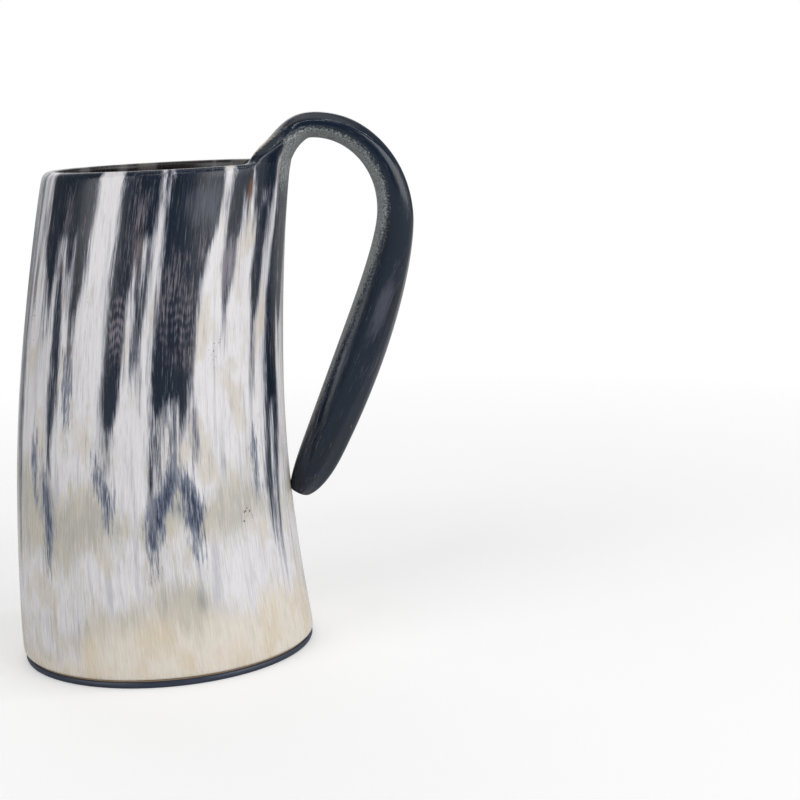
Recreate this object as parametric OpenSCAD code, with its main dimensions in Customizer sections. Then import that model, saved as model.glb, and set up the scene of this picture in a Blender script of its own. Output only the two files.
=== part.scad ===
// Drinking horn mug. One ox horn makes the cup: its wide end is the foot, and its tip,
// left standing as a strip on one side of the sawn rim, is bent over while hot into the handle.
// A black horn disc with a raised plug closes the foot, bedded in cast resin.
// The table is z = 0, the middle of the foot is the origin, and the handle points along +X.

/* [Cup] */
// Height of the rim above the table
cup_height = 150; // [120:1:180]
// Width of the horn at the table, along the handle's line
foot_width = 92.1; // [84:0.1:100]
// Width of the horn at half height
middle_width = 82.4; // [76:0.1:90]
// Width of the horn at the rim
rim_width = 74.9; // [68:0.1:82]
// Depth of the horn at the table, across the handle's line
foot_depth = 87.5; // [80:0.1:96]
// Depth of the horn at half height
middle_depth = 78.5; // [72:0.1:86]
// Depth of the horn at the rim
rim_depth = 71.2; // [65:0.1:78]
// How far the rim's middle stands towards the handle
rim_shift = 9.5; // [0:0.1:14]
// How far the horn's axis bows away from the handle
axis_bow = 5.2; // [0:0.1:9]

/* [Wall] */
// Thickness of the wall at the rim
rim_wall = 4.4; // [3:0.1:6]
// Thickness of the wall at the table
foot_wall = 5.6; // [4:0.1:8]
// Rounding of the polished lip
lip_radius = 1.8; // [0.8:0.1:1.9]
// Rounding of the foot's outer edge
foot_rounding = 1.4; // [0.8:0.1:2.4]

/* [Base] */
// Thickness of the base disc's visible rim
disc_thickness = 2; // [1.5:0.1:4]
// How far the disc's edge stands inside the horn's outline
disc_inset = 0.8; // [0.5:0.1:2.2]
// Height of the disc's plug inside the foot
plug_height = 3; // [2:0.1:6]
// Gap between the plug and the wall, filled with resin
plug_clearance = 0.5; // [0.3:0.1:1]
// Thickness of the resin under the wall
resin_film = 0.3; // [0.2:0.1:0.6]
// Reach of the resin fillet round the floor
resin_fillet = 3; // [1.5:0.1:5]

/* [Handle] */
// Top of the handle above the rim
handle_rise = 13.6; // [12:0.1:20]
// How far the top of the arch stands out from the rim
arch_reach = 6.5; // [5:0.1:11]
// How far the handle stands out from the rim
handle_reach = 36.4; // [33:0.1:46]
// Depth of the handle's outermost point below the rim
shoulder_drop = 17; // [14:0.5:24]
// Height of the tip above the table
tip_height = 46; // [38:0.1:60]
// How far the middle of the tip's end stands from the wall
tip_stand = 2.9; // [2.4:0.1:6]
// Slope of the tip's end, in degrees from level
tip_slope = 61; // [52:0.5:70]
// Length of the easy bend below the outermost point
shoulder_ease = 19.5; // [13:0.5:26]
// Length of the easy bend above the tip
tip_ease = 17.5; // [12:0.5:30]
// Width of the strip where it leaves the rim, measured along the wall
root_width = 49; // [44:1:56]
// Width of the strip just above the rim
flare_width = 41.5; // [36:0.5:44]
// Width of the strip half way up to the arch
neck_width = 29; // [26:0.5:34]
// Width at the top of the arch
arch_width = 25; // [20:0.5:26]
// Width at the outermost point
shoulder_width = 21.5; // [17:0.5:25]
// Width of the grip
grip_width = 17; // [14:0.5:21]
// Width of the tip
tip_width = 12.5; // [9:0.5:15]
// Thickness half way up to the arch
neck_thickness = 6.8; // [5:0.1:7.5]
// Thickness at the top of the arch
arch_thickness = 7.3; // [6:0.1:10]
// Thickness at the outermost point
shoulder_thickness = 11.2; // [9:0.1:13]
// Thickness of the grip
grip_thickness = 14.7; // [11:0.1:16]
// Thickness of the tip
tip_thickness = 11.3; // [8:0.1:12]
// Length over which the tip rounds off
tip_rounding = 11; // [7:0.5:15]

/* [Hidden] */

// Points round the horn, and levels up its wall
around = 64;
levels = 14;
// Steps along the handle's three bends, and points round its section
steps_per_bend = [10, 10, 24];
section_points = 32;
// Points of a quarter round on the lip and the foot
round_points = 4;
// Rounding that is left on the lip's edges under the handle
lip_under_handle = 0.3;
// Stretch of the rim over which the lip comes to its full rounding, as a share of the root's angle
lip_fade = 0.35;
// How far the resin fillet's hollow stands out from the corner, as a share of its reach
fillet_fill = 0.3;

wall_foot_z = disc_thickness + resin_film;
floor_z = disc_thickness + plug_height;
seal_top = floor_z + resin_fillet;
ring_angles = [for (i = [0 : around - 1]) 360 * i / around];

// The value at share t of a smooth run from a at 0, through b at one half, to c at 1
function three_point(t, a, b, c) =
    a * (1 - t) * (1 - 2 * t) + 4 * b * t * (1 - t) + c * t * (2 * t - 1);
function smooth(x) =
    let (u = min(1, max(0, x))) u * u * (3 - 2 * u);

// Horn outline at a height
function share(z) = z / cup_height;
function axis_x(z) =
    rim_shift * share(z) - 4 * axis_bow * share(z) * (1 - share(z));
function half_width(z) = three_point(share(z), foot_width, middle_width, rim_width) / 2;
function half_depth(z) = three_point(share(z), foot_depth, middle_depth, rim_depth) / 2;
function wall(z) = foot_wall + (rim_wall - foot_wall) * share(z);
// A point of the horn at an angle and height, a given depth inside the outer skin
function horn_point(angle, z, depth) = [
    axis_x(z) + (half_width(z) - depth) * cos(angle),
    (half_depth(z) - depth) * sin(angle),
    z
];

// Angle of the rim that the handle's strip takes up to each side
root_angle = root_width / (rim_depth - rim_wall) * 180 / PI;
function away_from_handle(angle) =
    let (off = abs(angle > 180 ? angle - 360 : angle))
    smooth((off - root_angle) / (lip_fade * root_angle));
function lip_at(angle) =
    lip_under_handle + (lip_radius - lip_under_handle) * away_from_handle(angle);

// The wall's section at an angle, as [depth, height] from the foot up the outside,
// over the lip and down the inside
function wall_section(angle) =
    let (
        lip = lip_at(angle),
        low = wall_foot_z + foot_rounding,
        high = cup_height - lip,
        outer = [for (k = [0 : levels]) [0, low + (high - low) * k / levels]],
        inner = [
            for (k = [levels : -1 : 0])
                let (z = seal_top + (high - seal_top) * k / levels) [wall(z), z],
            [wall(wall_foot_z), wall_foot_z]
        ],
        turns = [for (k = [1 : round_points]) 90 * k / round_points]
    )
    concat(
        [for (a = turns)
            [foot_rounding * (1 - sin(a - 90 / round_points)),
             wall_foot_z + foot_rounding * (1 - cos(a - 90 / round_points))]],
        outer,
        [for (a = turns) [lip * (1 - cos(a)), high + lip * sin(a)]],
        [for (a = turns)
            [rim_wall - lip * (1 - sin(a - 90 / round_points)),
             high + lip * cos(a - 90 / round_points)]],
        inner
    );

// Faces of a ring of closed sections, each with the same number of points
function ring_faces(rings, count) = [
    for (i = [0 : rings - 1], j = [0 : count - 1])
        let (
            i2 = (i + 1) % rings,
            j2 = (j + 1) % count,
            a = i * count + j,
            b = i * count + j2,
            c = i2 * count + j2,
            d = i2 * count + j
        )
        each [[a, b, c], [a, c, d]]
];

module ring_of_sections(sections) {
    polyhedron(
        points = [for (section = sections) each section],
        faces = ring_faces(len(sections), len(sections[0])),
        convexity = 6
    );
}

module cup_wall() {
    color([0.86, 0.83, 0.78])
    ring_of_sections([
        for (angle = ring_angles)
            [for (p = wall_section(angle)) horn_point(angle, p[1], p[0])]
    ]);
}

// A point straight above or below the foot's edge, a given depth inside the horn's skin
function foot_point(angle, depth, z) =
    let (p = horn_point(angle, wall_foot_z, depth)) [p[0], p[1], z];
function foot_outline(depth) = [
    for (angle = ring_angles)
        let (p = foot_point(angle, depth, 0)) [p[0], p[1]]
];
plug_depth = wall(wall_foot_z) + plug_clearance;

module base_disc() {
    color([0.13, 0.14, 0.18])
    union() {
        linear_extrude(disc_thickness) polygon(foot_outline(disc_inset));
        linear_extrude(floor_z) polygon(foot_outline(plug_depth));
    }
}

// The resin's section: a film under the wall, the gap round the plug, and a fillet on the floor
function resin_section(angle) = [
    foot_point(angle, foot_rounding, disc_thickness),
    foot_point(angle, foot_rounding, wall_foot_z),
    horn_point(angle, wall_foot_z, wall(wall_foot_z)),
    horn_point(angle, seal_top, wall(seal_top)),
    horn_point(angle, floor_z + fillet_fill * resin_fillet, plug_depth + fillet_fill * resin_fillet),
    foot_point(angle, plug_depth + resin_fillet, floor_z),
    foot_point(angle, plug_depth, floor_z),
    foot_point(angle, plug_depth, disc_thickness)
];

module resin_seal() {
    color([0.55, 0.47, 0.36])
    ring_of_sections([for (angle = ring_angles) resin_section(angle)]);
}

// The handle's line, in the XZ plane, as three bends: up from the rim to the arch,
// over to the outermost point, and down to the tip
rim_face_x = axis_x(cup_height) + half_width(cup_height);
function wall_face_x(z) = axis_x(z) + half_width(z);
wall_slope = wall_face_x(cup_height) - wall_face_x(cup_height - 1);

root_point = [rim_face_x - rim_wall / 2, cup_height];
arch_point = [rim_face_x + arch_reach, cup_height + handle_rise - arch_thickness / 2];
shoulder_point = [rim_face_x + handle_reach - shoulder_thickness / 2, cup_height - shoulder_drop];
tip_point = [wall_face_x(tip_height) + tip_stand, tip_height];
tip_heading = [-cos(tip_slope), -sin(tip_slope)];

// Control points that round a corner like a quarter of an ellipse
quarter = 0.5523;
arch_span = shoulder_point[0] - arch_point[0];
arch_fall = arch_point[1] - shoulder_point[1];
bends = [
    [root_point,
     root_point + quarter * (arch_point[1] - root_point[1]) * [wall_slope, 1],
     arch_point - [quarter * (arch_point[0] - root_point[0]), 0],
     arch_point],
    [arch_point,
     arch_point + [quarter * arch_span, 0],
     shoulder_point + [0, quarter * arch_fall],
     shoulder_point],
    [shoulder_point,
     shoulder_point - [0, shoulder_ease],
     tip_point - tip_ease * tip_heading,
     tip_point]
];

function bend_point(b, u) =
    pow(1 - u, 3) * b[0] + 3 * u * pow(1 - u, 2) * b[1] + 3 * u * u * (1 - u) * b[2] + pow(u, 3) * b[3];
function bend_heading(b, u) =
    let (d = pow(1 - u, 2) * (b[1] - b[0]) + 2 * u * (1 - u) * (b[2] - b[1]) + u * u * (b[3] - b[2]))
    d / norm(d);

// Places along the handle: 0 is the rim, 1 the arch, 2 the outermost point and 3 the tip,
// closer together towards the tip
tip_crowding = 1.5;
function place_share(b, k) =
    let (u = k / steps_per_bend[b])
    b == 2 ? 1 - pow(1 - u, tip_crowding) : u;
places = [
    0,
    for (b = [0 : 2], k = [1 : steps_per_bend[b]]) b + place_share(b, k)
];

// A smooth run through [place, value] pairs
function run_slope(keys, i) =
    let (a = max(0, i - 1), b = min(len(keys) - 1, i + 1))
    (keys[b][1] - keys[a][1]) / (keys[b][0] - keys[a][0]);
function run(keys, s) =
    let (
        i = max([for (k = [0 : len(keys) - 2]) s >= keys[k][0] ? k : 0]),
        h = keys[i + 1][0] - keys[i][0],
        u = (s - keys[i][0]) / h,
        m0 = h * run_slope(keys, i),
        m1 = h * run_slope(keys, i + 1)
    )
    keys[i][1] * (1 + 2 * u) * pow(1 - u, 2) + m0 * u * pow(1 - u, 2)
    + keys[i + 1][1] * u * u * (3 - 2 * u) + m1 * u * u * (u - 1);

root_thickness = rim_wall - 2 * lip_under_handle;
widths = [[0, root_width], [0.15, flare_width], [0.5, neck_width], [1, arch_width], [2, shoulder_width],
          [2.5, grip_width], [3, tip_width]];
thicknesses = [[0, root_thickness], [0.5, neck_thickness], [1, arch_thickness],
               [2, shoulder_thickness], [2.5, grip_thickness], [3, tip_thickness]];
// How much of the wall's own curve the strip keeps across its width, and how square its edges are
least_curl = 0.02;
curls = [[0, 1], [1, 0.8], [2, 0.75], [2.5, 0.2], [3, least_curl]];
squareness = [[0, 5], [1, 3], [3, 2.4]];

// Share of the full section that is left as the tip rounds off to its blunt end,
// and how far the rounding leans towards the cup, as a share of the half thickness
blunt_share = 0.25;
tip_lean = 0.4;
function tip_share(s) =
    let (left = (3 - s) * 3 * tip_ease, x = 1 - left / tip_rounding)
    x <= 0 ? 1 : max(blunt_share, sqrt(1 - x * x));

// A point of the section at a place, as [towards the loop, across]
mid_width = rim_width / 2 - rim_wall / 2;
mid_depth = rim_depth / 2 - rim_wall / 2;
function signed_power(x, p) = sign(x) * pow(abs(x), p);
function section_point(s, angle) =
    let (
        p = 2 / run(squareness, s),
        full = tip_share(s),
        across = run(widths, s) / 2 * full * signed_power(cos(angle), p),
        out = run(thicknesses, s) / 2 * (full * signed_power(sin(angle), p) + tip_lean * (1 - full)),
        curl = max(least_curl, run(curls, s)),
        turn = across * curl / mid_depth * 180 / PI,
        normal = [mid_depth * cos(turn), mid_width * sin(turn)]
    )
    [mid_width / curl * (cos(turn) - 1), mid_depth / curl * sin(turn)] + out * normal / norm(normal);

function handle_section(s) =
    let (
        b = min(2, floor(s)),
        u = s - b,
        centre = bend_point(bends[b], u),
        heading = s == 0 ? [0, 1] : bend_heading(bends[b], u)
    )
    [for (k = [0 : section_points - 1])
        let (p = section_point(s, 360 * k / section_points))
        [centre[0] + p[0] * heading[1], p[1], centre[1] - p[0] * heading[0]]];

// Faces that close a section of the handle, in pairs across its width
function end_faces(first) = [
    for (k = [0 : section_points / 2 - 1])
        let (
            a = first + k,
            b = first + k + 1,
            c = first + section_points - k - 1,
            d = first + (section_points - k) % section_points
        )
        each concat(b == c ? [] : [[a, b, c]], a == d ? [] : [[a, c, d]])
];
function reversed(face) = [face[2], face[1], face[0]];

module handle() {
    sections = [for (s = places) handle_section(s)];
    count = section_points;
    last = len(sections) - 1;
    color([0.08, 0.09, 0.11])
    polyhedron(
        points = [for (section = sections) each section],
        faces = concat(
            [for (face = end_faces(0)) reversed(face)],
            [for (face = ring_faces(len(sections), count))
                if (max(face) - min(face) < 2 * count) face],
            end_faces(last * count)
        ),
        convexity = 6
    );
}

cup_wall();
handle();
base_disc();
resin_seal();
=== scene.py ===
import math

import bmesh
import bpy
import numpy as np
from mathutils import Matrix, Vector


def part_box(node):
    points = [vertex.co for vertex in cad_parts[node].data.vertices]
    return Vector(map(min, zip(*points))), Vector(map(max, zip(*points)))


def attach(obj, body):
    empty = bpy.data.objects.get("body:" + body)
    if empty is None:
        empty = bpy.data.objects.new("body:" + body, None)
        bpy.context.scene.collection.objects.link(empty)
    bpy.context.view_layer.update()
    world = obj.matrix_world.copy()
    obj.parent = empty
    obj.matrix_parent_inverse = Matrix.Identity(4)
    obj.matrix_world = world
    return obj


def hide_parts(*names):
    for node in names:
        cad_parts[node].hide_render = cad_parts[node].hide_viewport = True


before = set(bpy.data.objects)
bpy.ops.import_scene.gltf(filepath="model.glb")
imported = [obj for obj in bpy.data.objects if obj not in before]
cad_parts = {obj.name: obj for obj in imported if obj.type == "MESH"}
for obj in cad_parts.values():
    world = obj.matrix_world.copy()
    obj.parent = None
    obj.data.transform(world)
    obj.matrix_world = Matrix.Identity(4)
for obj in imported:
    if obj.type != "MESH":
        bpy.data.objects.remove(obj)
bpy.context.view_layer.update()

# The horn: cup and handle are one ox horn, polished outside. The wide end is the cup, and a tongue of the
# wall is left standing at the rim, bent over and down while hot, and runs on into the horn's solid tip.
# It is drawn as one cage, ring by ring, and parted at the rim only once its surface is smooth.
foot_z, rim_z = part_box("cup_wall")[0].z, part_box("cup_wall")[1].z
foot_width, middle_width, rim_width = 0.0921, 0.0824, 0.0749
foot_depth, middle_depth, rim_depth = 0.0875, 0.0785, 0.0712
rim_shift, axis_bow = 0.0095, 0.0052
foot_wall, rim_wall = 0.0056, 0.0044


def through(share, low, middle, high):
    """A smooth run through three values, at shares 0, a half and 1 of the horn's height."""
    return (low * (1 - share) * (1 - 2 * share) + 4 * middle * share * (1 - share)
            + high * share * (2 * share - 1))


def oval(depth, z):
    """The horn's outline at height z, depth under its skin: place of its middle, half width, half depth."""
    share = z / rim_z
    half_width = through(share, foot_width, middle_width, rim_width) / 2
    half_depth = through(share, foot_depth, middle_depth, rim_depth) / 2
    return rim_shift * share - 4 * axis_bow * share * (1 - share), half_width - depth, half_depth - depth


def wall_at(z):
    """Thickness of the wall at height z."""
    return foot_wall + (rim_wall - foot_wall) * z / rim_z


def draw_rings(name, rings, columns):
    """An object drawn from a circle, one extruded oval ring after the other, left open in edit mode.
    Each ring is the oval that it follows, and its height."""
    if bpy.context.object and bpy.context.object.mode == "EDIT":
        bpy.ops.object.mode_set(mode="OBJECT")
    bpy.ops.object.select_all(action="DESELECT")
    bpy.ops.mesh.primitive_circle_add(vertices=columns, radius=1)
    made = bpy.context.object
    made.name = made.data.name = name
    bpy.ops.object.mode_set(mode="EDIT")
    bpy.ops.mesh.select_all(action="SELECT")
    last_middle, last_wide, last_deep, last_z = 0, 1, 1, 0
    for step, ((middle, wide, deep), z) in enumerate(rings):
        if step:
            bpy.ops.mesh.extrude_region_move()
        bpy.ops.transform.translate(value=(middle - last_middle, 0, z - last_z))
        growth = (wide / last_wide, deep / last_deep, 1)
        bpy.ops.transform.resize(value=growth, center_override=(middle, 0, z))
        last_middle, last_wide, last_deep, last_z = middle, wide, deep, z
    return made


def close_openings(closing):
    """Closes the open edges of a mesh with an operator, and turns all its faces outward."""
    bpy.ops.mesh.select_all(action="DESELECT")
    bpy.ops.mesh.select_mode(type="EDGE")
    bpy.ops.mesh.select_non_manifold()
    closing()
    bpy.ops.mesh.select_all(action="SELECT")
    bpy.ops.mesh.normals_make_consistent(inside=False)


# Its rings go up the outside from the foot's rounded edge, over the lip and down the inside. The lip's rows
# lie at depths under the skin, from outside in, and drop below the rim at its two rounded edges.
columns, outer_rings, inner_rings = 84, 21, 14
foot_inset, foot_edge, skin_start = 0.0014, 0.0004, 0.0016
lip_z, outer_round_z, inner_round_z = rim_z - 0.003, rim_z - 0.0013, rim_z - 0.001
outer_round, inner_round = 0.0003, 0.0002
lip_rows = [0.001, 0.0017, rim_wall / 2, rim_wall - 0.0015, rim_wall - 0.0007]
lip_drops = [0.0003, 0, 0, 0, 0.0002]
rings = [(oval(foot_inset, foot_z), foot_z), (oval(foot_edge, foot_z), foot_z + foot_edge)]
rings += [(oval(0, z), z) for z in np.linspace(foot_z + skin_start, lip_z, outer_rings)]
rings += [(oval(outer_round, outer_round_z), outer_round_z)]
rings += [(oval(depth, rim_z), rim_z - drop) for depth, drop in zip(lip_rows, lip_drops)]
rings += [(oval(rim_wall - inner_round, inner_round_z), inner_round_z)]
rings += [(oval(wall_at(z), z), z) for z in np.linspace(lip_z, foot_z, inner_rings)]
horn = draw_rings("horn_wall", rings, columns)
close_openings(bpy.ops.mesh.bridge_edge_loops)

# The tongue's middle line in the handle's plane: up from the rim, over the arch, out to the shoulder, in to
# the tip. Bezier curves join these points, the first two as quarter ovals.
rim_face_x = rim_shift + rim_width / 2
arch_reach, arch_rise = 0.0065, 0.0102
shoulder_reach, shoulder_drop, shoulder_ease = 0.0308, 0.017, 0.0195
root = Vector((rim_face_x - rim_wall / 2, rim_z))
arch = Vector((rim_face_x + arch_reach, rim_z + arch_rise))
shoulder = Vector((rim_face_x + shoulder_reach, rim_z - shoulder_drop))
tip = Vector((0.0442, 0.046))
tip_slope, tip_ease = math.radians(61), 0.0175
tip_side = Vector((math.cos(tip_slope), math.sin(tip_slope)))
wall_lean = Vector((0.158, 1))
quarter = 0.5523
line = [
    (root, root + quarter * (arch.y - root.y) * wall_lean,
     arch - Vector((quarter * (arch.x - root.x), 0)), arch),
    (arch, arch + Vector((quarter * (shoulder.x - arch.x), 0)),
     shoulder + Vector((0, quarter * (arch.y - shoulder.y))), shoulder),
    (shoulder, shoulder - Vector((0, shoulder_ease)), tip + tip_ease * tip_side, tip),
]
# Its section along that line, by place: 0 is the rim, 1 the arch, 2 the shoulder and 3 the tip.
half_columns = 10
root_turn = half_columns * 2 * math.pi / columns
bend_x, bend_y = (rim_width - rim_wall) / 2, (rim_depth - rim_wall) / 2
widths = [(0, 2 * root_turn * bend_y), (0.15, 0.0415), (0.5, 0.029), (1, 0.025), (2, 0.0215), (2.5, 0.017),
          (3, 0.0125)]
thicknesses = [(0, rim_wall), (0.5, 0.0074), (1, 0.0078), (2, 0.0109), (2.5, 0.015), (3, 0.0116)]
curls = [(0, 1), (1, 0.8), (2, 0.75), (2.5, 0.2), (3, 0.02)]
under_crowns = [(0, 0), (1, 0.0006), (2, 0.0005), (2.5, 0.0008), (3, 0.001)]
under_edges = [(0, 0.0009), (1, 0.001), (2, 0.0014), (2.5, 0.0015), (3, 0.0018)]
side_bulges = [(0, 0), (0.5, 0.0001), (1, 0.0002), (2, 0.0007), (2.5, 0.0011), (3, 0.0008)]
top_crowns = [(0, 0), (1, 0.0011), (2, 0.0014), (2.5, 0.0018), (3, 0.0016)]
bevels = [(0, 0.0009), (0.3, 0.002), (1, 0.003), (1.5, 0.0022), (2, 0.0014), (2.4, 0.002), (2.7, 0.0034),
          (3, 0.0034)]
tip_rounding, tip_lean, tip_cut = 0.011, 0.4, 0.84
bevel_crease, tip_crease = 0.85, 0.25


def run(keys, place):
    """A smooth run through values at given places of the handle's line."""
    places, values = np.array(keys).T
    slopes = np.gradient(values, places)
    k = int(np.clip(np.searchsorted(places, place) - 1, 0, len(places) - 2))
    gap = places[k + 1] - places[k]
    s = (place - places[k]) / gap
    return ((1 + 2 * s) * (1 - s) ** 2 * values[k] + s * (1 - s) ** 2 * gap * slopes[k]
            + s * s * (3 - 2 * s) * values[k + 1] - s * s * (1 - s) * gap * slopes[k + 1])


def on_line(place):
    """Point and direction of the handle's line."""
    a, b, c, d = line[min(int(place), 2)]
    s = place - min(int(place), 2)
    point = a * (1 - s) ** 3 + 3 * b * s * (1 - s) ** 2 + 3 * c * s * s * (1 - s) + d * s ** 3
    heading = (b - a) * (1 - s) ** 2 + 2 * (c - b) * s * (1 - s) + (d - c) * s * s
    return point, heading.normalized()


def section_point(place, across, row):
    """A point of the handle's section: across from -1 to 1, row 0 on the horn's outer skin, 4 on its inner.
    Also gives how far across the strip it lies, and how deep under the outer skin."""
    rounding = max(0, 1 - (3 - place) * 3 * tip_ease / tip_rounding)
    share = math.sqrt(1 - (tip_cut * rounding) ** 2)
    lean = run(thicknesses, place) / 2 * tip_lean * (1 - share)
    half, thick = run(widths, place) / 2 * share, run(thicknesses, place) * share
    crown, edge = run(under_crowns, place) * share, run(under_edges, place) * share
    top, bevel = run(top_crowns, place) * share, run(bevels, place) * share
    bulge = run(side_bulges, place) * share
    y = across * (half - (edge + bulge, edge / 4 + bulge, 0, bulge / 2, bevel + bulge / 2)[row])
    under, over = thick / 2 - crown * across ** 2, -thick / 2 + top * across ** 2
    if abs(across) == 1:
        n = (under, under - edge, (under - edge + over + bevel) / 2, over + bevel, over)[row]
    else:
        n = under + (over - under) * row / 4
    curl = run(curls, place)
    turn = y * curl / bend_y
    out = (bend_x / curl + n) * math.cos(turn) - bend_x / curl + lean
    side = (bend_y / curl + n) * math.sin(turn)
    point, heading = on_line(place)
    return Vector((point.x + out * heading.y, side, point.y - out * heading.x)), y, thick / 2 - n


# The tongue is pulled out of the lip's top faces, station by station. Every point keeps where it lies in the
# horn before bending, round and along the fibres, in metres: the materials grow along that grain.
grain_radius = 0.04
stations = [0.06, 0.13, 0.22, 0.34, 0.48, 0.65, 0.82, 1]
stations += list(np.linspace(1, 2, 12)[1:]) + list(np.linspace(2, 2.79, 20)[1:])
stations += [3 - tip_rounding * (1 - math.sin(math.radians(angle))) / (3 * tip_ease)
             for angle in (12, 24, 36, 48, 60, 90)]


def grain_at(turn, depth, along):
    """A point of the unbent horn, from its turn round the axis, its depth under the skin and its height."""
    return Vector(((grain_radius - depth) * math.cos(turn), (grain_radius - depth) * math.sin(turn), along))


# Dents of the hand-scraped skin: their depth, and each wave's count round the horn and radians per metre.
dent_depth, dent_waves = 0.0004, ((3, 40), (7, -75))
# A point this near the rim is in the lip's rows, and one this shallow is on the skin. The handle's edges are
# rubbed bare up to a place of its line.
row_reach, skin_reach, slack, bared_reach = 0.0004, 0.001, 0.0001, 1.1
cage = bmesh.from_edit_mesh(horn.data)
for name in ("column", "row"):
    cage.verts.layers.int.new(name)
cage.verts.layers.float_vector.new("grain")
cage.verts.layers.float.new("bared")
cage.edges.layers.float.new("crease_edge")
bpy.ops.mesh.select_all(action="DESELECT")
bpy.ops.mesh.select_mode(type="FACE")
cage = bmesh.from_edit_mesh(horn.data)
column, row = cage.verts.layers.int["column"], cage.verts.layers.int["row"]
grain = cage.verts.layers.float_vector["grain"]
for vert in cage.verts:
    middle, wide, deep = oval(0, vert.co.z)
    turn = math.atan2(vert.co.y / deep, (vert.co.x - middle) / wide)
    depth = wide - math.hypot(vert.co.x - middle, vert.co.y * wide / deep)
    vert[column] = round(turn * columns / (2 * math.pi))
    on_lip = vert.co.z > rim_z - row_reach
    vert[row] = int(np.argmin([abs(depth - lip) for lip in lip_rows])) if on_lip else -1
    if vert.co.z < lip_z + slack and depth < skin_reach:
        waves = [math.sin(count * turn + climb * vert.co.z) for count, climb in dent_waves]
        dent = dent_depth * (2 + sum(waves)) / 4
        vert.co.x -= dent * math.cos(turn)
        vert.co.y -= dent * math.sin(turn)
    # Under the tongue the lip stays square, so that the wall's skins run straight on into the handle.
    if vert.co.z > lip_z + slack and vert[row] not in (1, 2, 3):
        rounded = min(1, max(0, (abs(vert[column]) - half_columns) / 2 + 0.5))
        depth = depth * rounded if depth < rim_wall / 2 else rim_wall - (rim_wall - depth) * rounded
        z = vert.co.z if vert[row] < 0 else rim_z - (rim_z - vert.co.z) * rounded
        middle, wide, deep = oval(depth, z)
        vert.co = middle + wide * math.cos(turn), deep * math.sin(turn), z
    vert[grain] = grain_at(turn, depth, vert.co.z)
for face in cage.faces:
    face.select = all(v[row] >= 0 and abs(v[column]) <= half_columns for v in face.verts)
bmesh.update_edit_mesh(horn.data)
along = rim_z
last_point = root
for place in stations:
    bpy.ops.mesh.extrude_region_move()
    cage = bmesh.from_edit_mesh(horn.data)
    column, row = cage.verts.layers.int["column"], cage.verts.layers.int["row"]
    grain, bared = cage.verts.layers.float_vector["grain"], cage.verts.layers.float["bared"]
    point = on_line(place)[0]
    along += (point - last_point).length
    last_point = point
    for vert in cage.verts:
        if vert.select:
            vert.co, y, depth = section_point(place, vert[column] / half_columns, vert[row])
            vert[grain] = grain_at(y / bend_y, depth, along)
            on_edge = vert[row] == 3 and abs(vert[column]) == half_columns
            vert[bared] = max(0, bared_reach - place) if on_edge else 0
    for face in cage.faces:
        if any(v.select for v in face.verts):
            face.material_index = 1
    bmesh.update_edit_mesh(horn.data)
# The scraper leaves a crisp line along both sides of the handle, where the bevel of its back begins. The tip
# is cut off square.
cage = bmesh.from_edit_mesh(horn.data)
column, row = cage.verts.layers.int["column"], cage.verts.layers.int["row"]
crease = cage.edges.layers.float["crease_edge"]
for edge in cage.edges:
    one, other = edge.verts
    if one[row] == other[row] == 3 and one[column] == other[column] and abs(one[column]) == half_columns:
        edge[crease] = bevel_crease
    elif edge.select and not all(face.select for face in edge.link_faces):
        edge[crease] = tip_crease
bmesh.update_edit_mesh(horn.data)
bpy.ops.object.mode_set(mode="OBJECT")
bpy.ops.object.modifier_add(type="SUBSURF")
smooth = horn.modifiers[-1]
smooth.levels = smooth.render_levels = 2
bpy.ops.object.modifier_apply(modifier=smooth.name)
bpy.ops.object.shade_smooth()

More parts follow.
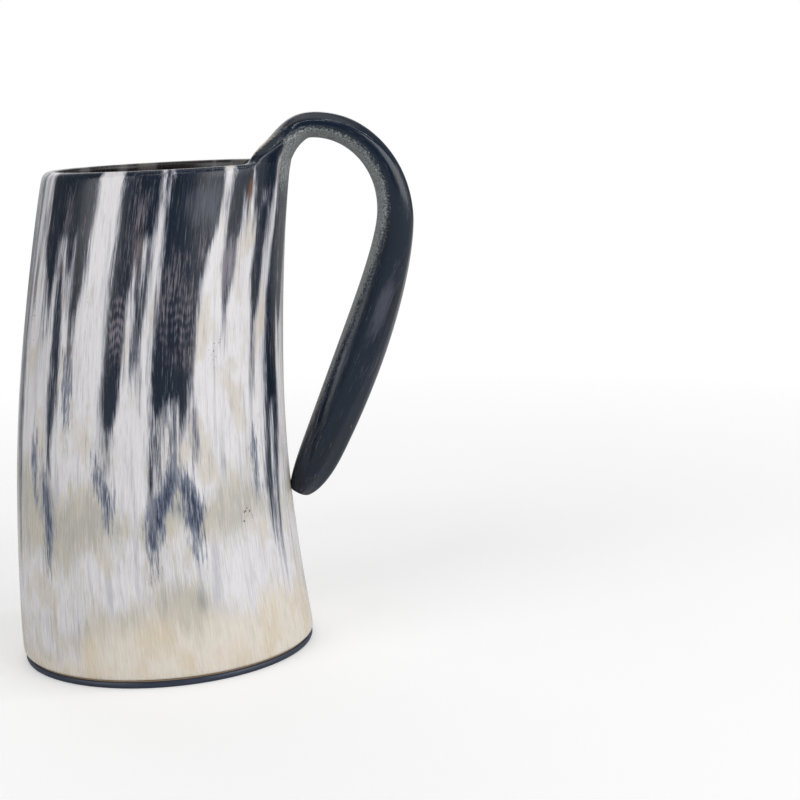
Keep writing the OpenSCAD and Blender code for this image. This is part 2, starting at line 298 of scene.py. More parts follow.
# Marks of the horn, kept on its points. Dark pigment runs down from the rim, at 150 mm, in streaks. Each is
# its cover in mm and, from the top down, heights in mm, turns from the handle and widths in degrees.
dark_streaks = [
    (0, [(150, -164, 18), (135, -163, 15), (105, -161.5, 11), (90, -160, 8), (63, -160, 5),
         (42, -158.5, 1)]),
    (-0.2, [(133, -148.7, 1.2), (119, -151, 1.5)]),
    (1.5, [(150, -130, 29), (140, -130.2, 28.6), (134, -130.7, 27.6), (131, -130.9, 27)]),
    (1.5, [(140, -138.7, 12), (130, -139.7, 10), (124, -138.8, 8), (119, -137.7, 4.5), (110, -137.6, 1)]),
    (-0.1, [(122, -141, 2), (104, -141.5, 1)]),
    (1.2, [(138, -127.2, 5.5), (128, -127.3, 3.6), (120, -127.8, 0.8)]),
    (1.5, [(138, -120.4, 7.4), (130, -121, 6), (124, -121.3, 5.4), (117, -121.6, 4), (110, -122.5, 2)]),
    (-0.1, [(117, -122.4, 3.5), (104, -122.8, 2.5), (97, -123, 1.5)]),
    (0.7, [(124, -131.6, 0.8), (118, -131.5, 3), (110, -131.3, 4.6), (100, -131.2, 5.4), (84, -132, 5.2),
           (77, -132.4, 3), (70, -132.8, 0.8)]),
    (1.5, [(150, -95.8, 17.4), (142, -96, 17.6), (135, -96.6, 16.6), (130, -97.3, 15)]),
    (1.5, [(134, -100.2, 9.6), (122, -100.7, 9.2), (112, -101.5, 7.6), (100, -101.9, 6.8), (84, -103, 6.6),
           (80, -103.4, 5), (76, -103.8, 1.6)]),
    (-0.1, [(131, -92.5, 5), (119, -92.5, 4.5), (98, -93, 3)]),
    (1.2, [(150, -84.6, 2), (141, -84.4, 0.5)]),
    (1.5, [(150, -70.3, 23.8), (140, -71.2, 24.4), (132, -72.4, 23), (126, -74.2, 20.2), (118, -75.4, 18.2),
           (108, -76.2, 18), (98, -77, 17), (90, -78.1, 16), (83, -78.3, 15.4)]),
    (1.5, [(94, -82.8, 6.6), (85, -83.3, 5.8), (79.5, -83.3, 4)]),
    (1.5, [(94, -73, 5.6), (85, -72.8, 4.8), (80, -72.8, 3.4)]),
    (0, [(86, -85, 1.4), (70, -85.6, 1), (57, -86.6, 0.6)]),
    (-0.1, [(84, -82.8, 0.8), (68, -83.3, 0.5)]),
    (0.8, [(88, -77, 1.4), (78, -76.8, 1.6), (70, -77.7, 1.2)]),
    (-0.1, [(79, -68, 0.7), (72, -67.8, 1.4)]),
    (1.5, [(150, -50.2, 5.8), (140, -51, 7), (133, -51.6, 6.8), (128, -52.6, 6)]),
    (0.6, [(132, -52.2, 6.6), (122, -53.5, 6.4), (115, -54.3, 4), (109, -54.7, 0.8)]),
    (1.4, [(150, -34.3, 17), (145, -33.8, 16), (141, -33.4, 13)]),
    (1.2, [(150, -37.6, 5.4), (140, -37.8, 4), (134, -38, 1)]),
    (1.2, [(150, -29.6, 5.4), (142, -29.8, 4.6), (136, -30.4, 1)]),
    (1.4, [(150, -46.4, 8), (145, -46.2, 6), (140, -46, 1)]),
    (0.9, [(150, -40.6, 3.4), (139, -40.2, 1.2)]),
    (1.3, [(140, -34, 4), (133, -35, 7.4), (125, -36, 6), (118, -37, 7), (111, -37.6, 4.8),
           (104, -37.4, 1)]),
    (-0.2, [(104, -38.6, 1.4), (92, -38.4, 0.8)]),
    (1, [(150, -12, 21), (140, -13, 19), (125, -14, 14), (112, -15, 9), (100, -15.5, 1)]),
    (1.4, [(136, -20, 7), (128, -20.4, 10.4), (120, -21.2, 10.4), (110, -23.4, 9.4), (95, -23.8, 9.6),
           (78, -23.6, 11)]),
    (1.4, [(84, -28, 2.8), (72, -28.8, 3.6), (62, -30, 4.2), (54, -30.8, 4.2), (48, -31, 2.6),
           (42, -31.6, 0.8)]),
    (0.5, [(84, -21, 6), (72, -21.8, 4.4), (60, -23.4, 3), (50, -24.4, 2.2), (42, -25, 0.6)]),
    (1.4, [(150, 14, 12), (138, 13, 9), (126, 12, 3), (118, 12, 0.8)]),
    (0.2, [(128, 18, 2.5), (96, 17, 1.4), (70, 16, 0.6)]),
    (1.5, [(150, 34, 24), (139, 33, 22), (126, 30, 16), (112, 28, 13), (96, 27, 9), (88, 26.4, 4),
           (82, 26, 0.8)]),
    (1.5, [(134, 40, 8), (118, 40, 7), (97, 39.5, 5), (61, 38.5, 2.4), (50, 38, 0.6)]),
    (0.1, [(118, 52, 1.5), (92, 52, 3), (74, 51.5, 0.8)]),
    (1.5, [(150, 62, 9), (143, 61.5, 5), (136, 61, 0.8)]),
    (1.5, [(150, 84, 31), (141, 85, 30), (133, 87, 25), (124, 89, 21), (103, 90, 18), (92, 91, 17)]),
    (1.5, [(97, 85, 6), (90, 84.6, 5), (84, 84.4, 2)]),
    (1.5, [(97, 96, 6), (84, 96.6, 4.4), (76, 96.8, 1.4)]),
    (-0.1, [(90, 90, 1), (72, 90.4, 0.8)]),
    (0.7, [(110, 111, 0.8), (101, 111, 3.4), (83, 110.5, 4.6), (66, 110, 3), (54, 109.6, 0.8)]),
    (1.2, [(150, 113, 5), (136, 113.6, 4), (122, 114, 1)]),
    (1.5, [(150, 131, 17), (136, 131, 16), (121, 129.5, 9), (117, 129.3, 4), (109, 129, 0.8)]),
    (1.5, [(139, 136, 7), (120, 136, 6), (104, 135.5, 5), (88, 135, 1)]),
    (0, [(132, 147, 1.4), (100, 147, 1)]),
    (1.5, [(150, 160, 22), (133, 160, 20), (119, 158.5, 13), (101, 157.5, 11), (82, 157, 8.5), (74, 157, 6),
           (62, 156.6, 1)]),
    (1.3, [(150, 177, 6), (131, 177.5, 4), (112, 178, 1)]),
    (0.4, [(96, 171, 1), (80, 171, 3.6), (58, 170.6, 2.6), (46, 170.4, 0.6)]),
]
# Lower down the pigment lies deeper, and shows blue through the horn.
blue_streaks = [
    (1.6, [(74, -77.6, 1.6), (64, -77.6, 3.6), (60, -78.8, 6.4), (55, -83, 8.4), (49, -85.8, 7.6),
           (45, -86.3, 5), (40, -86.8, 1.2)]),
    (1.6, [(64, -74.2, 2.4), (57, -71.8, 6.4), (52, -70.4, 8), (49, -70, 7), (45, -69, 3)]),
    (0.9, [(61, -135.2, 2), (54, -133.6, 4.2), (46, -133, 4), (37, -134, 1)]),
    (0.1, [(63, -108, 2), (59, -106, 5), (54, -104, 1)]),
    (0.1, [(70, -143.5, 2), (66, -143, 4), (60, -142, 1)]),
    (0.4, [(58, -27, 5), (50, -28, 4), (42, -29, 1)]),
    (0, [(66, -39, 2), (58, -38.6, 1)]),
    (0, [(96, -124.5, 2), (88, -124, 4), (80, -123, 1)]),
    (0.3, [(72, 122, 2), (63, 124, 6), (54, 127, 5), (43, 128, 1)]),
    (-0.3, [(54, 44, 1.5), (44, 44.5, 4.5), (31, 45, 1)]),
    (0, [(72, 80, 1.5), (64, 79, 4), (55, 78, 1)]),
    (-0.7, [(43, 160, 2), (37, 161, 7), (28, 162, 2)]),
]
# The milky white layer ends above the foot in a fringe: turns in degrees, heights in mm.
fringe = [(-180, 64), (-158, 68), (-146, 63), (-134, 60), (-124, 56), (-112, 61), (-104, 56), (-95, 47),
          (-88, 46), (-80, 56), (-75, 63), (-68, 46), (-60, 58), (-50, 61), (-42, 59), (-36, 50), (-24, 45),
          (-10, 52), (8, 66), (21, 41), (30, 44), (47, 73), (58, 66), (70, 48), (92, 39), (101, 58),
          (108, 70), (126, 74), (139, 49), (152, 36), (164, 47), (172, 69), (180, 64)]
# Under it the horn is tan, and below a second line cream.
cream_line = [(-180, 12), (-150, 9), (-128, 12), (-110, 19), (-90, 22), (-70, 19), (-50, 26), (-28, 30),
              (0, 17), (25, 33), (50, 13), (75, 21), (100, 35), (125, 19), (150, 8), (165, 24), (180, 12)]
# Soft patches: height and reach in mm, turn and reach in degrees, strength.
milky_patches = [(24, 12, -138, 10, 1), (37, 10, -68, 8, 1), (26, 13, -50, 8, 0.9), (34, 12, -20, 11, 1),
                 (40, 8, -95, 7, 0.9), (32, 12, -102, 16, 1), (14, 10, -152, 12, 0.9), (9, 6, -126, 8, 0.6),
                 (36, 20, -168, 12, 0.8), (14, 9, -138, 10, 1), (34, 9, -112, 10, 1),
                 (34, 10, 14, 9, 0.9), (20, 9, 57, 12, 1), (46, 7, 66, 8, 0.8), (31, 8, 103, 10, 0.9),
                 (18, 9, 143, 14, 1), (40, 6, 172, 7, 0.8)]
amber_patches = [(143, 5, -44.4, 2, 1), (123, 2.5, -131.6, 0.8, 0.9), (149, 9, -24.6, 0.8, 0.9),
                 (100, 2, -122.5, 1.6, 0.6), (47, 1.6, -67.5, 3, 0.35), (14, 6, -123, 5, 0.25),
                 (128, 8, -94, 3, 0.3), (145, 4, 28, 2, 0.7), (140, 6, 104, 2, 0.6), (58, 9, 149, 5, 0.3)]
# Grey patches: the horn's smoky grey, a greyer left edge of the cup, and painted shade on the wall under the
# handle's root.
smoke_and_handle_shade_patches = [(152, 26, -1, 8, 1), (118, 34, -6, 8, 0.7), (140, 45, -166, 6, 0.9),
                  (90, 40, -162, 4, 0.7), (64, 5, -56, 2.5, 0.5), (52, 6, -77, 4, 0.4),
                  (25, 5, -71.5, 5, 0.6), (96, 16, -117, 5, 0.3), (66, 8, 74, 4, 0.5), (92, 16, 145, 3, 0.4)]
greyed_patches = [(133, 10, -67, 9, 0.4), (116, 14, -74, 10, 0.35), (138, 9, -131, 3, 0.6),
                  (106, 9, -101, 4, 0.5), (138, 8, -94, 6, 0.5), (95, 6, -74, 7, 0.25),
                  (121, 8, -54, 4, 0.6), (130, 18, 80, 8, 0.5), (106, 12, 94, 6, 0.5),
                  (128, 14, 130, 6, 0.5), (104, 16, 158, 6, 0.4), (120, 20, -160, 8, 0.5)]
# Painted sheen: soft lighter patches over the dark blocks just under the rim.
painted_sheen_patches = [(140, 8, -67, 12, 0.85), (144, 6, -131, 10, 0.35), (141, 9, 86, 12, 0.7),
                 (143, 6, 160, 8, 0.5)]
rippled_patches = [(106, 9, -101, 5, 0.25), (106, 10, -76, 8, 0.15), (106, 10, 90, 8, 0.2)]
speckled_patches = [(96, 12, -58, 8, 1.2), (47, 5, -46, 4, 1.6), (46, 2.5, -66, 5, 1.9),
                    (77, 4, -67, 2, 1.3), (118, 14, -92, 3, 1.2), (108, 16, -150, 5, 1.2),
                    (112, 12, -116, 3, 1.1), (70, 12, 66, 7, 1.2), (88, 12, 122, 5, 1.2)]
grain_point = np.empty(len(horn.data.vertices) * 3, np.float32)
horn.data.attributes["grain"].data.foreach_get("vector", grain_point)
grain_point = grain_point.reshape(-1, 3)
turn = np.degrees(np.arctan2(grain_point[:, 1], grain_point[:, 0]))
height = grain_point[:, 2] * 1000
depth = (grain_radius - np.hypot(grain_point[:, 0], grain_point[:, 1])) * 1000
mm_per_degree = grain_radius * 1000 * math.pi / 180
rim_mm = rim_z * 1000
outside_all = -9
# Streaks fade past their ends by the first two in mm per mm, narrow towards them by the third, and close to
# black along the handle by the fourth.
dark_fray, blue_fray, taper, closing = 0.1, 0.2, 0.3, 0.2
closing_reach, fringe_reach, cream_reach = 30, 16, 18


def turned(place):
    """Turns of the horn's points from a place round it, in degrees."""
    return (turn - place + 180) % 360 - 180


def streaked(streaks, fray):
    """How far the horn's points lie inside the nearest streak, in mm, or outside it where negative."""
    nearest = np.full_like(turn, outside_all)
    for cover, path in streaks:
        highs, places, spans = np.array(path[::-1]).T
        aside = np.abs(turned(np.interp(height, highs, places)))
        inside = np.minimum((np.interp(height, highs, spans) / 2 - aside) * mm_per_degree, cover)
        top = np.inf if highs[-1] == round(rim_mm) else highs[-1]
        beyond = np.maximum(highs[0] - height, height - top)
        ends = np.where(beyond > 0, -beyond * fray, -beyond * taper)
        nearest = np.maximum(nearest, np.minimum(inside, ends))
    return nearest


def patched(patches):
    """How strongly soft patches cover the horn's points."""
    cover = np.zeros_like(turn)
    for high, reach_up, place, reach_round, strength in patches:
        away = ((height - high) / reach_up) ** 2 + (turned(place) / reach_round) ** 2
        cover = np.maximum(cover, strength * np.exp(-away))
    return cover


# In the handle the streaks soon close to solid black.
along = height - rim_mm
height = np.minimum(height, rim_mm)
pigment = streaked(dark_streaks, dark_fray) + np.clip(along, 0, closing_reach) * closing
# Milk comes back below the tan as a swaying band, thinner in places, and a paler edge at the foot is a
# painted highlight of its rounded edge.
sway_waves = ((5, 2, 50), (3, 5, 0), (2, 11, 0))
sway = sum(size * np.sin(np.radians(count * turn + lag)) for size, count, lag in sway_waves)
veil = 0.78 + 0.22 * np.sin(np.radians(3 * turn + 200))
milk_and_foot_highlight = np.clip((height - np.interp(turn, *np.array(fringe).T)) / fringe_reach + 0.5, 0, 1)
creamed = np.clip((np.interp(turn, *np.array(cream_line).T) - height) / cream_reach + 0.5, 0, 1)
milk_and_foot_highlight = np.maximum(milk_and_foot_highlight, veil * np.interp(height + sway, (0, 12, 26, 36, 48), (0, 0, 1, 1, 0.15)))
# Painted highlight: the wall's lowest few mm are paled, as light along the foot's edge.
milk_and_foot_highlight = np.maximum(milk_and_foot_highlight, np.interp(height, (0, 2, 5), (0.5, 0.25, 0)))
# The handle's underside, the horn's own skin, is left scuffed from the rim to the grip. Its grey also runs
# down the wall under the handle's root as painted shade, and fades along the grip as painted sheen. One
# patch of the handle's side is painted lighter as a painted reflection.
scuff_shade_and_sheen = np.interp(along, (-16, -3, 2, 55, 80, 115, 140), (0, 0.75, 1, 1, 0.6, 0.4, 0))
scuff_shade_and_sheen *= np.interp(depth, (0.4, 1.3, 2.6), (1, 0.45, 0))
scuff_shade_and_sheen *= np.interp(np.abs(turn) - 0.9 * np.maximum(along, 0), (21.5, 24.5), (1, 0))
# Painted reflection: a soft lighter patch on the handle's near side, 84 mm along it.
glare_along, glare_length, glare_depth, glare_width = 84, 11, 8, 2.4
glare_spread = ((along - glare_along) / glare_length) ** 2 + ((depth - glare_depth) / glare_width) ** 2
painted_sheen = np.exp(-glare_spread) * (turn < 0)
painted_sheen = np.maximum(painted_sheen, patched(painted_sheen_patches) * (along < 0))
greyed = np.interp(height, (80, 98, 126, 143), (-0.1, 0.15, 0.15, 0)) - 0.1 * (along > 0)
marks = {
    "pigment": pigment,
    "blue": streaked(blue_streaks, blue_fray),
    "milk_and_foot_highlight": np.maximum(milk_and_foot_highlight, patched(milky_patches)),
    "amber": patched(amber_patches) * (along < 3),
    "smoke_and_handle_shade": patched(smoke_and_handle_shade_patches),
    "rippled": patched(rippled_patches),
    "greyed": greyed + patched(greyed_patches),
    "speckled": np.minimum(patched(speckled_patches), 1),
    "creamed": creamed,
    "scuff_shade_and_sheen": scuff_shade_and_sheen,
    "painted_sheen": painted_sheen,
}
for name, values in (*marks.items(), ("depth", depth)):
    horn.data.attributes.new(name, "FLOAT", "POINT").data.foreach_set("value", values.astype(np.float32))


# The wall: pale horn with dark streaks. It is parted from the handle at the rim's plane, both open ends are
# closed, and each keeps the normals of the whole horn, so that no seam shows.
def add(tree, kind, sockets, **settings):
    """A shader node with its settings. A socket takes a value, another node's output, or a node, which
    stands for its first live output."""
    made = tree.nodes.new("ShaderNode" + kind)
    for name, value in settings.items():
        setattr(made, name, value)
    for name, value in sockets.items():
        if isinstance(value, bpy.types.Node):
            value = next(out for out in value.outputs if out.enabled)
        if isinstance(value, bpy.types.NodeSocket):
            tree.links.new(value, made.inputs[name])
        else:
            made.inputs[name].default_value = value
    return made


def tone(colour):
    """An sRGB hex colour as linear RGBA."""
    parts = [int(colour[k:k + 2], 16) / 255 for k in (1, 3, 5)]
    return [p / 12.92 if p <= 0.04045 else ((p + 0.055) / 1.055) ** 2.4 for p in parts] + [1]


def new_material(name):
    """A new material, with its node tree and its shader."""
    made = bpy.data.materials.new(name)
    made.use_nodes = True
    return made, made.node_tree, made.node_tree.nodes["Principled BSDF"]


def ragged(tree, value, noises, reaches):
    """A value whose steps are made ragged by noises, each with its own reach."""
    for noise, reach in zip(noises, reaches):
        off = add(tree, "Math", {0: noise, 1: 0.5}, operation="SUBTRACT")
        value = add(tree, "Math", {0: off, 1: reach, 2: value}, operation="MULTIPLY_ADD")
    return value


def layer(tree, below, over, value, low, high, most=1):
    """A colour laid over another, from none of it where a value is low to most of it where that is high."""
    share = add(tree, "MapRange", {"Value": value, "From Min": low, "From Max": high, "To Max": most},
                interpolation_type="SMOOTHSTEP")
    return add(tree, "Mix", {"Factor": share, "A": below, "B": over}, data_type="RGBA")


# Sizes in mm: the grit in scuffed horn, the spacing of pits that hold specks, and the half width and ring
# spacing of the chevrons of growth. These climb at a steepness without a unit.
grit_width, pit_spacing = 0.53, 1.33
chevron_width, ring_spacing, chevron_climb = 2.2, 3, 60


def horn_colour(tree):
    """The horn's colour, its threads, its scuffed places and the grit in them."""
    grain = add(tree, "Attribute", {}, attribute_name="grain").outputs["Vector"]
    noises = []
    # Widths in mm of strands, threads, fibres and short mottles, all drawn out along the horn, and of soft
    # clouds. The fibres are drawn coarser than real ones, so that they show.
    for width, squeeze in ((2.2, 0.05), (0.6, 0.05), (0.24, 0.045), (0.52, 0.12), (8.3, 0.45)):
        drawn = add(tree, "VectorMath", {0: grain, 1: (1, 1, squeeze)}, operation="MULTIPLY")
        noises.append(add(tree, "TexNoise", {"Vector": drawn, "Scale": 1000 / width, "Detail": 3,
                                             "Roughness": 0.6}))
    strand, thread, fibre, mottle, cloud = noises
    grit = add(tree, "TexNoise", {"Vector": grain, "Scale": 1000 / grit_width, "Detail": 3})
    mark = {name: add(tree, "Attribute", {}, attribute_name=name).outputs["Fac"]
            for name in (*marks, "bared")}
    # Dark horn is navy black, blacker in some strands, with mauve grey fibres and growth chevrons in places.
    place = add(tree, "SeparateXYZ", {0: grain})
    round_turn = add(tree, "Math", {0: place.outputs["Y"], 1: place.outputs["X"]}, operation="ARCTAN2")
    half_turn = chevron_width / 1000 / grain_radius
    zigzag = add(tree, "Math", {0: round_turn, 1: half_turn}, operation="PINGPONG")
    ring_turns = 2000 * math.pi / ring_spacing
    rings = add(tree, "Math", {0: place.outputs["Z"], 1: ring_turns}, operation="MULTIPLY")
    ripple = add(tree, "Math", {0: zigzag, 1: chevron_climb, 2: rings}, operation="MULTIPLY_ADD")
    ripple = add(tree, "Math", {0: ragged(tree, ripple, (thread, cloud), (8, 9))}, operation="SINE")
    greyed = add(tree, "Math", {0: ripple, 1: mark["rippled"], 2: mark["greyed"]}, operation="MULTIPLY_ADD")
    greyed = ragged(tree, greyed, (mottle, thread, fibre, cloud), (0.9, 1.2, 2.2, 1.2))
    dark = layer(tree, tone("#04182b"), tone("#0a1119"), strand, 0.5, 0.66, 0.7)
    dark = layer(tree, dark, tone("#7f7983"), greyed, 0.2, 1, 0.85)
    # Pale horn is milky white over a tan grey ground, cream at the foot. Stains and specks lie in it.
    foot = ragged(tree, mark["creamed"], (strand, cloud), (1.2, 1.8))
    colour = layer(tree, tone("#c5bfb2"), tone("#b4b2aa"), cloud, 0.4, 0.62)
    cream = layer(tree, tone("#dfd7cb"), tone("#d7cab5"), cloud, 0.42, 0.64)
    colour = layer(tree, colour, cream, foot, 0.1, 0.9)
    white = layer(tree, tone("#e4e2e5"), tone("#c3c3c9"), strand, 0.46, 0.7)
    white = layer(tree, white, tone("#d2c9bc"), cloud, 0.5, 0.66, 0.75)
    white = layer(tree, white, tone("#a3a2a9"), thread, 0.5, 0.72, 0.45)
    milk_and_foot_highlight = ragged(tree, mark["milk_and_foot_highlight"], (strand, thread, fibre, cloud), (1.3, 0.7, 0.6, 1.1))
    colour = layer(tree, colour, white, milk_and_foot_highlight, 0.2, 0.8, 0.95)
    # Smoky grey, which under the handle's root is painted shade.
    grey_smoke_and_shade = ragged(tree, mark["smoke_and_handle_shade"], (strand, thread, cloud), (0.6, 0.6, 0.6))
    colour = layer(tree, colour, tone("#7b7d79"), grey_smoke_and_shade, 0.1, 1)
    colour = layer(tree, colour, tone("#f2f0f0"), fibre, 0.54, 0.72, 0.35)
    colour = layer(tree, colour, tone("#83838c"), fibre, 0.46, 0.3, 0.24)
    pits = add(tree, "TexVoronoi", {"Vector": grain, "Scale": 1000 / pit_spacing}).outputs["Distance"]
    speck = add(tree, "Math", {0: mark["speckled"], 1: pits}, operation="SUBTRACT")
    speck = ragged(tree, speck, (grit, cloud), (0.6, 0.5))
    colour = layer(tree, colour, tone("#4a3827"), speck, 0.78, 0.92, 0.85)
    # The pigment's edges and tips fray along the fibres. Where it lies deep or thin it looks blue.
    edge = ragged(tree, mark["blue"], (strand, thread, fibre, mottle), (2.6, 4.4, 5.2, 5))
    colour = layer(tree, colour, tone("#747c8d"), edge, -1.7, 0.6)
    colour = layer(tree, colour, tone("#27314a"), edge, 0, 2)
    edge = ragged(tree, mark["pigment"], (strand, thread, fibre), (2.6, 2.8, 2.8))
    colour = layer(tree, colour, tone("#888a95"), edge, -1.4, 0.2)
    colour = layer(tree, colour, dark, edge, -0.5, 0.8)
    amber = ragged(tree, mark["amber"], (strand, thread, cloud), (0.6, 0.6, 0.6))
    colour = layer(tree, colour, tone("#664628"), amber, 0.1, 1)
    # Painted light and wear: a painted reflection on the handle's side and painted sheen over the dark
    # blocks under the rim; the scuffed skin of the handle, with painted shade under its root and painted
    # sheen along the grip;
    # and bare brown horn along the edge at its root.
    sheen = ragged(tree, mark["painted_sheen"], (thread, fibre), (1, 0.8))
    colour = layer(tree, colour, tone("#4d515e"), sheen, 0.2, 0.9, 0.7)
    # Painted shade and sheen go with the scuffs: the same grey lies on the wall under the handle's root and
    # along the grip.
    scuff_shade_and_sheen = ragged(tree, mark["scuff_shade_and_sheen"], (grit, thread), (0.8, 0.5))
    scuff_shade_and_sheen_grey = layer(tree, tone("#475053"), tone("#a3a8a6"), grit, 0.34, 0.68)
    colour = layer(tree, colour, scuff_shade_and_sheen_grey, scuff_shade_and_sheen, 0.2, 0.9)
    bared = ragged(tree, mark["bared"], (thread, grit), (0.7, 0.7))
    colour = layer(tree, colour, tone("#a08f7c"), bared, 0.45, 0.9, 0.9)
    return colour, thread, scuff_shade_and_sheen, grit


# Streaked horn, scraped and buffed along its fibres and then waxed: a soft gloss with fine lines in it, at
# the wax's IOR. The inside is painted dark brown: painted shade in the cup's hollow.
wax_ior = 1.47
streaked_horn, tree, shader = new_material("streaked_horn")
colour, thread = horn_colour(tree)[:2]
hollow_shade_depth = add(tree, "Attribute", {}, attribute_name="depth").outputs["Fac"]
# Painted shade: faces more than 1.5 mm under the outer skin, the inside and the inner part of the rim, turn
# brown black.
colour = layer(tree, colour, tone("#241d18"), hollow_shade_depth, 1.5, 3.8, 0.86)
tree.links.new(colour.outputs[2], shader.inputs["Base Color"])
gloss = add(tree, "MapRange", {"Value": thread, "From Min": 0.3, "From Max": 0.7,
                               "To Min": 0.2, "To Max": 0.34})
tree.links.new(gloss.outputs[0], shader.inputs["Roughness"])
shader.inputs["IOR"].default_value = wax_ior
relief = add(tree, "Bump", {"Height": thread, "Strength": 0.1, "Distance": 0.0003})
tree.links.new(relief.outputs[0], shader.inputs["Normal"])

# The second, empty slot holds the handle's faces until they are parted.
horn.data.materials.append(streaked_horn)
horn.data.materials.append(None)
whole_normals = np.empty(len(horn.data.vertices) * 3, np.float32)
horn.data.vertex_normals.foreach_get("vector", whole_normals)
horn.data.attributes.new("whole_normal", "FLOAT_VECTOR", "POINT").data.foreach_set("vector", whole_normals)
bpy.ops.object.mode_set(mode="EDIT")
bpy.ops.mesh.separate(type="MATERIAL")
bpy.ops.object.mode_set(mode="OBJECT")
wall, handle = sorted(bpy.context.selected_objects, key=lambda made: -len(made.data.vertices))


def close_cut(made):
    """Closes a piece's open end with flat faces, and gives the rest of it the whole horn's normals."""
    bpy.ops.object.select_all(action="DESELECT")
    bpy.context.view_layer.objects.active = made
    skin_faces = len(made.data.polygons)
    bpy.ops.object.mode_set(mode="EDIT")
    close_openings(bpy.ops.mesh.fill)
    bpy.ops.object.mode_set(mode="OBJECT")
    kept = made.data.attributes["whole_normal"].data
    normals = [kept[loop.vertex_index].vector for loop in made.data.loops]
    for face in made.data.polygons[skin_faces:]:
        for corner in face.loop_indices:
            normals[corner] = face.normal
    made.data.normals_split_custom_set(normals)


close_cut(wall)
wall.name = wall.data.name = "horn_wall"
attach(wall, "root")
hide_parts("cup_wall")

# The handle: the horn's black, solid end. It is one piece of horn with the wall, heated, bent over and left
# to set, then scraped and polished on its back and sides.
# Black horn, buffed and waxed: a deep gloss, and on the scuffed skin of the underside a rough grey, which
# along the grip is partly painted sheen.
black_horn, tree, shader = new_material("black_horn")
colour, thread, scuff_shade_and_sheen, grit = horn_colour(tree)
tree.links.new(colour.outputs[2], shader.inputs["Base Color"])
dull = add(tree, "MapRange", {"Value": scuff_shade_and_sheen, "From Min": 0.2, "From Max": 0.9,
                              "To Min": 0.15, "To Max": 0.6})
gloss = ragged(tree, dull, (thread,), (0.15,))
tree.links.new(gloss.outputs[0], shader.inputs["Roughness"])
shader.inputs["IOR"].default_value = wax_ior
rough = add(tree, "MapRange", {"Value": scuff_shade_and_sheen, "From Min": 0.2, "From Max": 0.9})
relief = add(tree, "Math", {0: grit, 1: rough}, operation="MULTIPLY")
relief = ragged(tree, relief, (thread,), (0.12,))
relief = add(tree, "Bump", {"Height": relief, "Strength": 0.6, "Distance": 0.0006})
tree.links.new(relief.outputs[0], shader.inputs["Normal"])
handle.data.materials.clear()
handle.data.materials.append(black_horn)
close_cut(handle)
handle.name = handle.data.name = "horn_handle"
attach(handle, "root")
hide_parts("handle")

# The base: an oval plate of black horn that closes the foot, with a plug on top that sits inside the wall.
# It is sawn, turned up to a rounded edge, and bedded in resin.
floor_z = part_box("base_disc")[1].z
plate_thickness, plate_inset, plug_depth = 0.002, 0.0008, wall_at(foot_z) + 0.0005
sole_inset, rounding, rounding_middle = 0.004, 0.0006, 0.0002
plate_columns, crisp_angle = 128, math.radians(35)
plate_rings = [(sole_inset, 0), (plate_inset + rounding, 0),
               (plate_inset + rounding_middle, rounding_middle), (plate_inset, rounding),
               (plate_inset, plate_thickness - rounding),
               (plate_inset + rounding_middle, plate_thickness - rounding_middle),
               (plate_inset + rounding, plate_thickness), (plug_depth, plate_thickness),
               (plug_depth, floor_z - 0.0005), (plug_depth + rounding_middle, floor_z - 0.0001),
               (plug_depth + rounding, floor_z)]
plate = draw_rings("base_plate", [(oval(depth, foot_z), z) for depth, z in plate_rings], plate_columns)
close_openings(bpy.ops.mesh.edge_face_add)
bpy.ops.object.mode_set(mode="OBJECT")
bpy.ops.object.shade_smooth_by_angle(angle=crisp_angle)
# Black horn, sawn and lightly sanded: a satin sheen with faint saw marks along one way, their width in mm.
saw_mark_width = 0.67
base_horn, tree, shader = new_material("base_horn")
where = add(tree, "TexCoord", {}).outputs["Object"]
drawn = add(tree, "VectorMath", {0: where, 1: (0.05, 1, 1)}, operation="MULTIPLY")
sawn = add(tree, "TexNoise", {"Vector": drawn, "Scale": 1000 / saw_mark_width, "Detail": 2})
dark = add(tree, "Mix", {"Factor": sawn, "A": tone("#172134"), "B": tone("#293449")}, data_type="RGBA")
tree.links.new(dark.outputs[2], shader.inputs["Base Color"])
gloss = add(tree, "MapRange", {"Value": sawn, "From Min": 0.3, "From Max": 0.7,
                               "To Min": 0.38, "To Max": 0.52})
tree.links.new(gloss.outputs[0], shader.inputs["Roughness"])
shader.inputs["IOR"].default_value = 1.54
plate.data.materials.append(base_horn)
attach(plate, "root")
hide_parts("base_disc")

# The resin: a clear amber bead that was poured in round the plug. A thin film of it beds the wall on the
# plate, and a hollow fillet runs round the floor inside.
fillet, film_inset = 0.003, 0.0014
bead_rings = [(oval(film_inset, foot_z), plate_thickness), (oval(film_inset, foot_z), foot_z),
              (oval(wall_at(foot_z), foot_z), foot_z)]
for angle in np.linspace(0, math.pi / 2, 9):
    reach, rise = fillet * (1 - math.sin(angle)), fillet * (1 - math.cos(angle))
    bead_rings.insert(3, (oval(plug_depth + reach, foot_z), floor_z + rise))
bead_rings += [(oval(plug_depth, foot_z), floor_z), (oval(plug_depth, foot_z), plate_thickness)]
bead = draw_rings("resin_bead", bead_rings, plate_columns)
close_openings(bpy.ops.mesh.bridge_edge_loops)
bpy.ops.object.mode_set(mode="OBJECT")
bpy.ops.object.shade_smooth_by_angle(angle=crisp_angle)
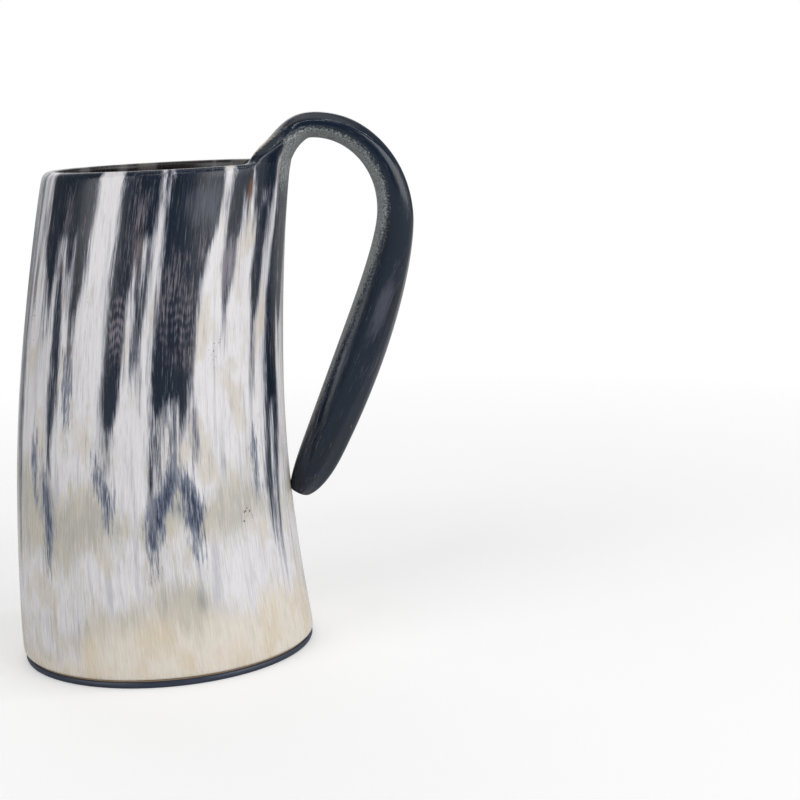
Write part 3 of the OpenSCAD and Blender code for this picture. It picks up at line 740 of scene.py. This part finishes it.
# Cast resin, left as it set: a wet gloss, and amber clouds a few mm across.
cloud_width = 6
cast_resin, tree, shader = new_material("cast_resin")
where = add(tree, "TexCoord", {}).outputs["Object"]
cloud = add(tree, "TexNoise", {"Vector": where, "Scale": 1000 / cloud_width, "Detail": 3})
amber = add(tree, "Mix", {"Factor": cloud, "A": tone("#8a7252"), "B": tone("#a08b6c")}, data_type="RGBA")
tree.links.new(amber.outputs[2], shader.inputs["Base Color"])
shader.inputs["Roughness"].default_value = 0.12
shader.inputs["IOR"].default_value = 1.52
bead.data.materials.append(cast_resin)
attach(bead, "root")
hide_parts("resin_seal")

# The studio: a white paper floor that keeps the mug's soft shadow, and to the camera fades to pure white
# away from it. Large softboxes light the mug from both sides, and narrow strips draw lines of gloss.
bpy.ops.object.select_all(action="DESELECT")
bpy.ops.mesh.primitive_plane_add(size=8)
floor = bpy.context.object
floor.name = floor.data.name = "paper_floor"
paper_grey, paper_glow, fade_start, fade_end = 0.75, 0.34, 0.15, 0.5
paper, tree, shader = new_material("white_paper")
where = add(tree, "TexCoord", {}).outputs["Object"]
away = add(tree, "VectorMath", {0: where}, operation="LENGTH").outputs["Value"]
seen = add(tree, "LightPath", {}).outputs["Is Camera Ray"]
glow = add(tree, "Math", {0: seen, 1: paper_glow}, operation="MULTIPLY")
glow = add(tree, "Emission", {"Strength": glow})
shader.inputs["Base Color"].default_value = (paper_grey, paper_grey, paper_grey, 1)
shader.inputs["Roughness"].default_value = 0.8
near = add(tree, "AddShader", {0: shader, 1: glow})
white = add(tree, "Emission", {"Strength": 1})
away = add(tree, "MapRange", {"Value": away, "From Min": fade_start, "From Max": fade_end, "To Max": seen})
mixed = add(tree, "MixShader", {0: away, 1: near, 2: white})
tree.links.new(mixed.outputs[0], tree.nodes["Material Output"].inputs["Surface"])
floor.data.materials.append(paper)

world_light = 0.24
world = bpy.data.worlds.new("studio_world")
bpy.context.scene.world = world
world.use_nodes = True
tree = world.node_tree
seen = add(tree, "LightPath", {}).outputs["Is Camera Ray"]
strength = add(tree, "MapRange", {"Value": seen, "To Min": world_light, "To Max": 1})
tree.nodes["Background"].inputs["Color"].default_value = (1, 1, 1, 1)
tree.links.new(strength.outputs[0], tree.nodes["Background"].inputs["Strength"])

# Lamps: name, place, width, height and power in watts. All of them face the mug's middle.
aim = Vector((0.01, 0, 0.08))
lamps = [
    ("key_softbox", (-1.05, -0.9, 0.62), 1, 1, 8.1),
    ("fill_softbox", (1.1, -0.75, 0.45), 1, 1, 10),
    ("top_softbox", (0.1, 0.25, 1.1), 0.9, 0.9, 1.2),
    ("strip_light", (0.1, -0.72, 0.95), 0.7, 0.07, 1.2),
    ("back_softbox", (-0.3, 1.2, 0.6), 1, 1, 3.2),
    ("side_softbox", (1.3, 0.15, 0.25), 0.8, 0.8, 1.9),
    ("ridge_strip", (0.51, 0, 0.94), 0.04, 0.6, 0.8),
]
for name, place, width, height, power in lamps:
    bpy.ops.object.light_add(type="AREA", location=place)
    lamp = bpy.context.object
    lamp.name = lamp.data.name = name
    lamp.data.shape = "RECTANGLE"
    lamp.data.size, lamp.data.size_y = width, height
    lamp.data.energy = power
    lamp.rotation_euler = (aim - Vector(place)).to_track_quat("-Z", "Y").to_euler()

# The camera stands where it stood for the photograph, as the cup's outline gives it: turned, tilted down and
# rolled by angles in degrees, with a lens in mm.
camera_place = Vector((0.05051, -0.50552, 0.16796))
camera_turn, camera_tilt, camera_roll, camera_lens = -2.9376, 10.5333, -2.7282, 74.025
facing = Matrix.Rotation(math.radians(camera_turn), 4, "Z")
facing = facing @ Matrix.Rotation(math.radians(90 - camera_tilt), 4, "X")
facing = facing @ Matrix.Rotation(math.radians(camera_roll), 4, "Z")
bpy.ops.object.camera_add()
camera = bpy.context.object
camera.matrix_world = Matrix.Translation(camera_place) @ facing
camera.data.lens = camera_lens
bpy.context.scene.camera = camera
bpy.context.scene.view_settings.view_transform = "Standard"
